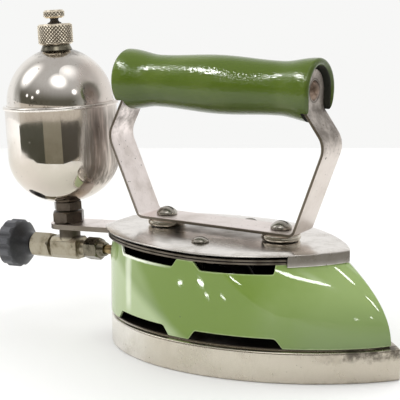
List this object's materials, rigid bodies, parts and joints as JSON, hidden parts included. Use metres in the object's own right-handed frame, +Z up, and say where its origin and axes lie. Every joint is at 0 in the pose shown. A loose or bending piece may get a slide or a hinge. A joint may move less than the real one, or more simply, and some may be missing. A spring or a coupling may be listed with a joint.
{
  "type": "gasoline iron",
  "caption": "Gasoline-fuelled laundry iron: nickelled sole, green enamelled burner housing, painted grip on a steel strap, and a polished pressure tank with a needle valve.",
  "frame": {"origin": "on the pressing face, in the middle plane, at the widest section of the sole", "axes": "+X towards the tip, +Z up from the pressing face, +Y to the left of someone using it"},
  "size_m": [0.2637, 0.099, 0.188],
  "materials": {
    "nickelled_casting": "satin nickel plate on a casting",
    "green_enamel": "gloss stove enamel on sheet steel",
    "plain_sheet": "dull sheet steel",
    "insulating_board": "soft mineral board",
    "satin_nickel": "satin nickel plate, pitted",
    "screw_steel": "worn bright steel",
    "green_wood": "gloss green paint on turned wood",
    "polished_nickel": "polished nickel plate on brass sheet",
    "dull_nickel": "dull knurled nickel plate",
    "dull_brass": "worn nickel plate on brass",
    "bare_brass": "bare brass",
    "black_knob": "moulded black, worn",
    "seal_rubber": "matt black",
    "burner_iron": "heat-darkened casting"
  },
  "bodies": {
    "iron": {"sole_plate": "nickelled_casting", "body_shell": "green_enamel", "lower_heat_shield": "plain_sheet", "insulating_sheet": "insulating_board", "upper_heat_shield": "plain_sheet", "top_cover": "satin_nickel", "cover_spacers": "plain_sheet", "strap_spacers": "satin_nickel", "handle_strap": "satin_nickel", "strap_screws": "screw_steel", "strap_nuts": "screw_steel", "body_bolts": "screw_steel", "handle_grip": "green_wood", "handle_rod": "screw_steel", "tank_bracket": "satin_nickel", "lock_nut": "dull_brass", "tank_boss": "dull_brass", "tank_bowl": "polished_nickel", "tank_dome": "polished_nickel", "filler_neck": "dull_brass", "valve_body": "dull_brass", "stem_packing": "seal_rubber", "packing_nut": "dull_brass", "union_nut": "dull_brass", "tube_ferrule": "bare_brass", "generator_tube": "bare_brass", "gas_tip": "bare_brass", "mixing_elbow": "burner_iron", "burner": "burner_iron", "burner_screws": "screw_steel"},
    "valve_travel_body": {"valve_needle": "bare_brass"},
    "valve_turning": {"valve_stem": "bare_brass", "valve_knob": "black_knob", "knob_screw": "screw_steel"},
    "cap_rise_body": {"filler_gasket": "seal_rubber"},
    "cap_turning": {"filler_cap": "dull_nickel"},
    "air_screw_rise_body": {"air_screw_seal": "seal_rubber"},
    "air_screw_turning": {"air_screw": "dull_nickel"}
  },
  "joints": [
    {"name": "valve_travel", "type": "slide", "parent": "iron", "child": "valve_travel_body", "axis": [-0.9979, 0, -0.0645], "range_m": [0, 0.0015]},
    {"name": "valve_turn", "type": "hinge", "parent": "valve_travel_body", "child": "valve_turning", "pos_m": [-0.11117, 0, 0.04524], "axis": [-0.9979, 0, -0.0645], "range_deg": [0, 540]},
    {"name": "cap_travel", "type": "slide", "parent": "iron", "child": "cap_rise_body", "axis": [-0.0645, 0, 0.9979], "range_m": [0, 0.006]},
    {"name": "cap_turn", "type": "hinge", "parent": "cap_rise_body", "child": "cap_turning", "pos_m": [-0.11199, 0, 0.05781], "axis": [-0.0645, 0, 0.9979], "range_deg": [0, 1440]},
    {"name": "air_screw_travel", "type": "slide", "parent": "cap_turning", "child": "air_screw_rise_body", "axis": [-0.0645, 0, 0.9979], "range_m": [0, 0.0016]},
    {"name": "air_screw_turn", "type": "hinge", "parent": "air_screw_rise_body", "child": "air_screw_turning", "pos_m": [-0.11199, 0, 0.05781], "axis": [-0.0645, 0, 0.9979], "range_deg": [0, 720]}
  ],
  "couplings": [
    {"joint": "valve_turn", "follows": "valve_travel", "rad_per_m": 6283.2},
    {"joint": "cap_turn", "follows": "cap_travel", "rad_per_m": 4188.8},
    {"joint": "air_screw_turn", "follows": "air_screw_travel", "rad_per_m": 7854}
  ]
}
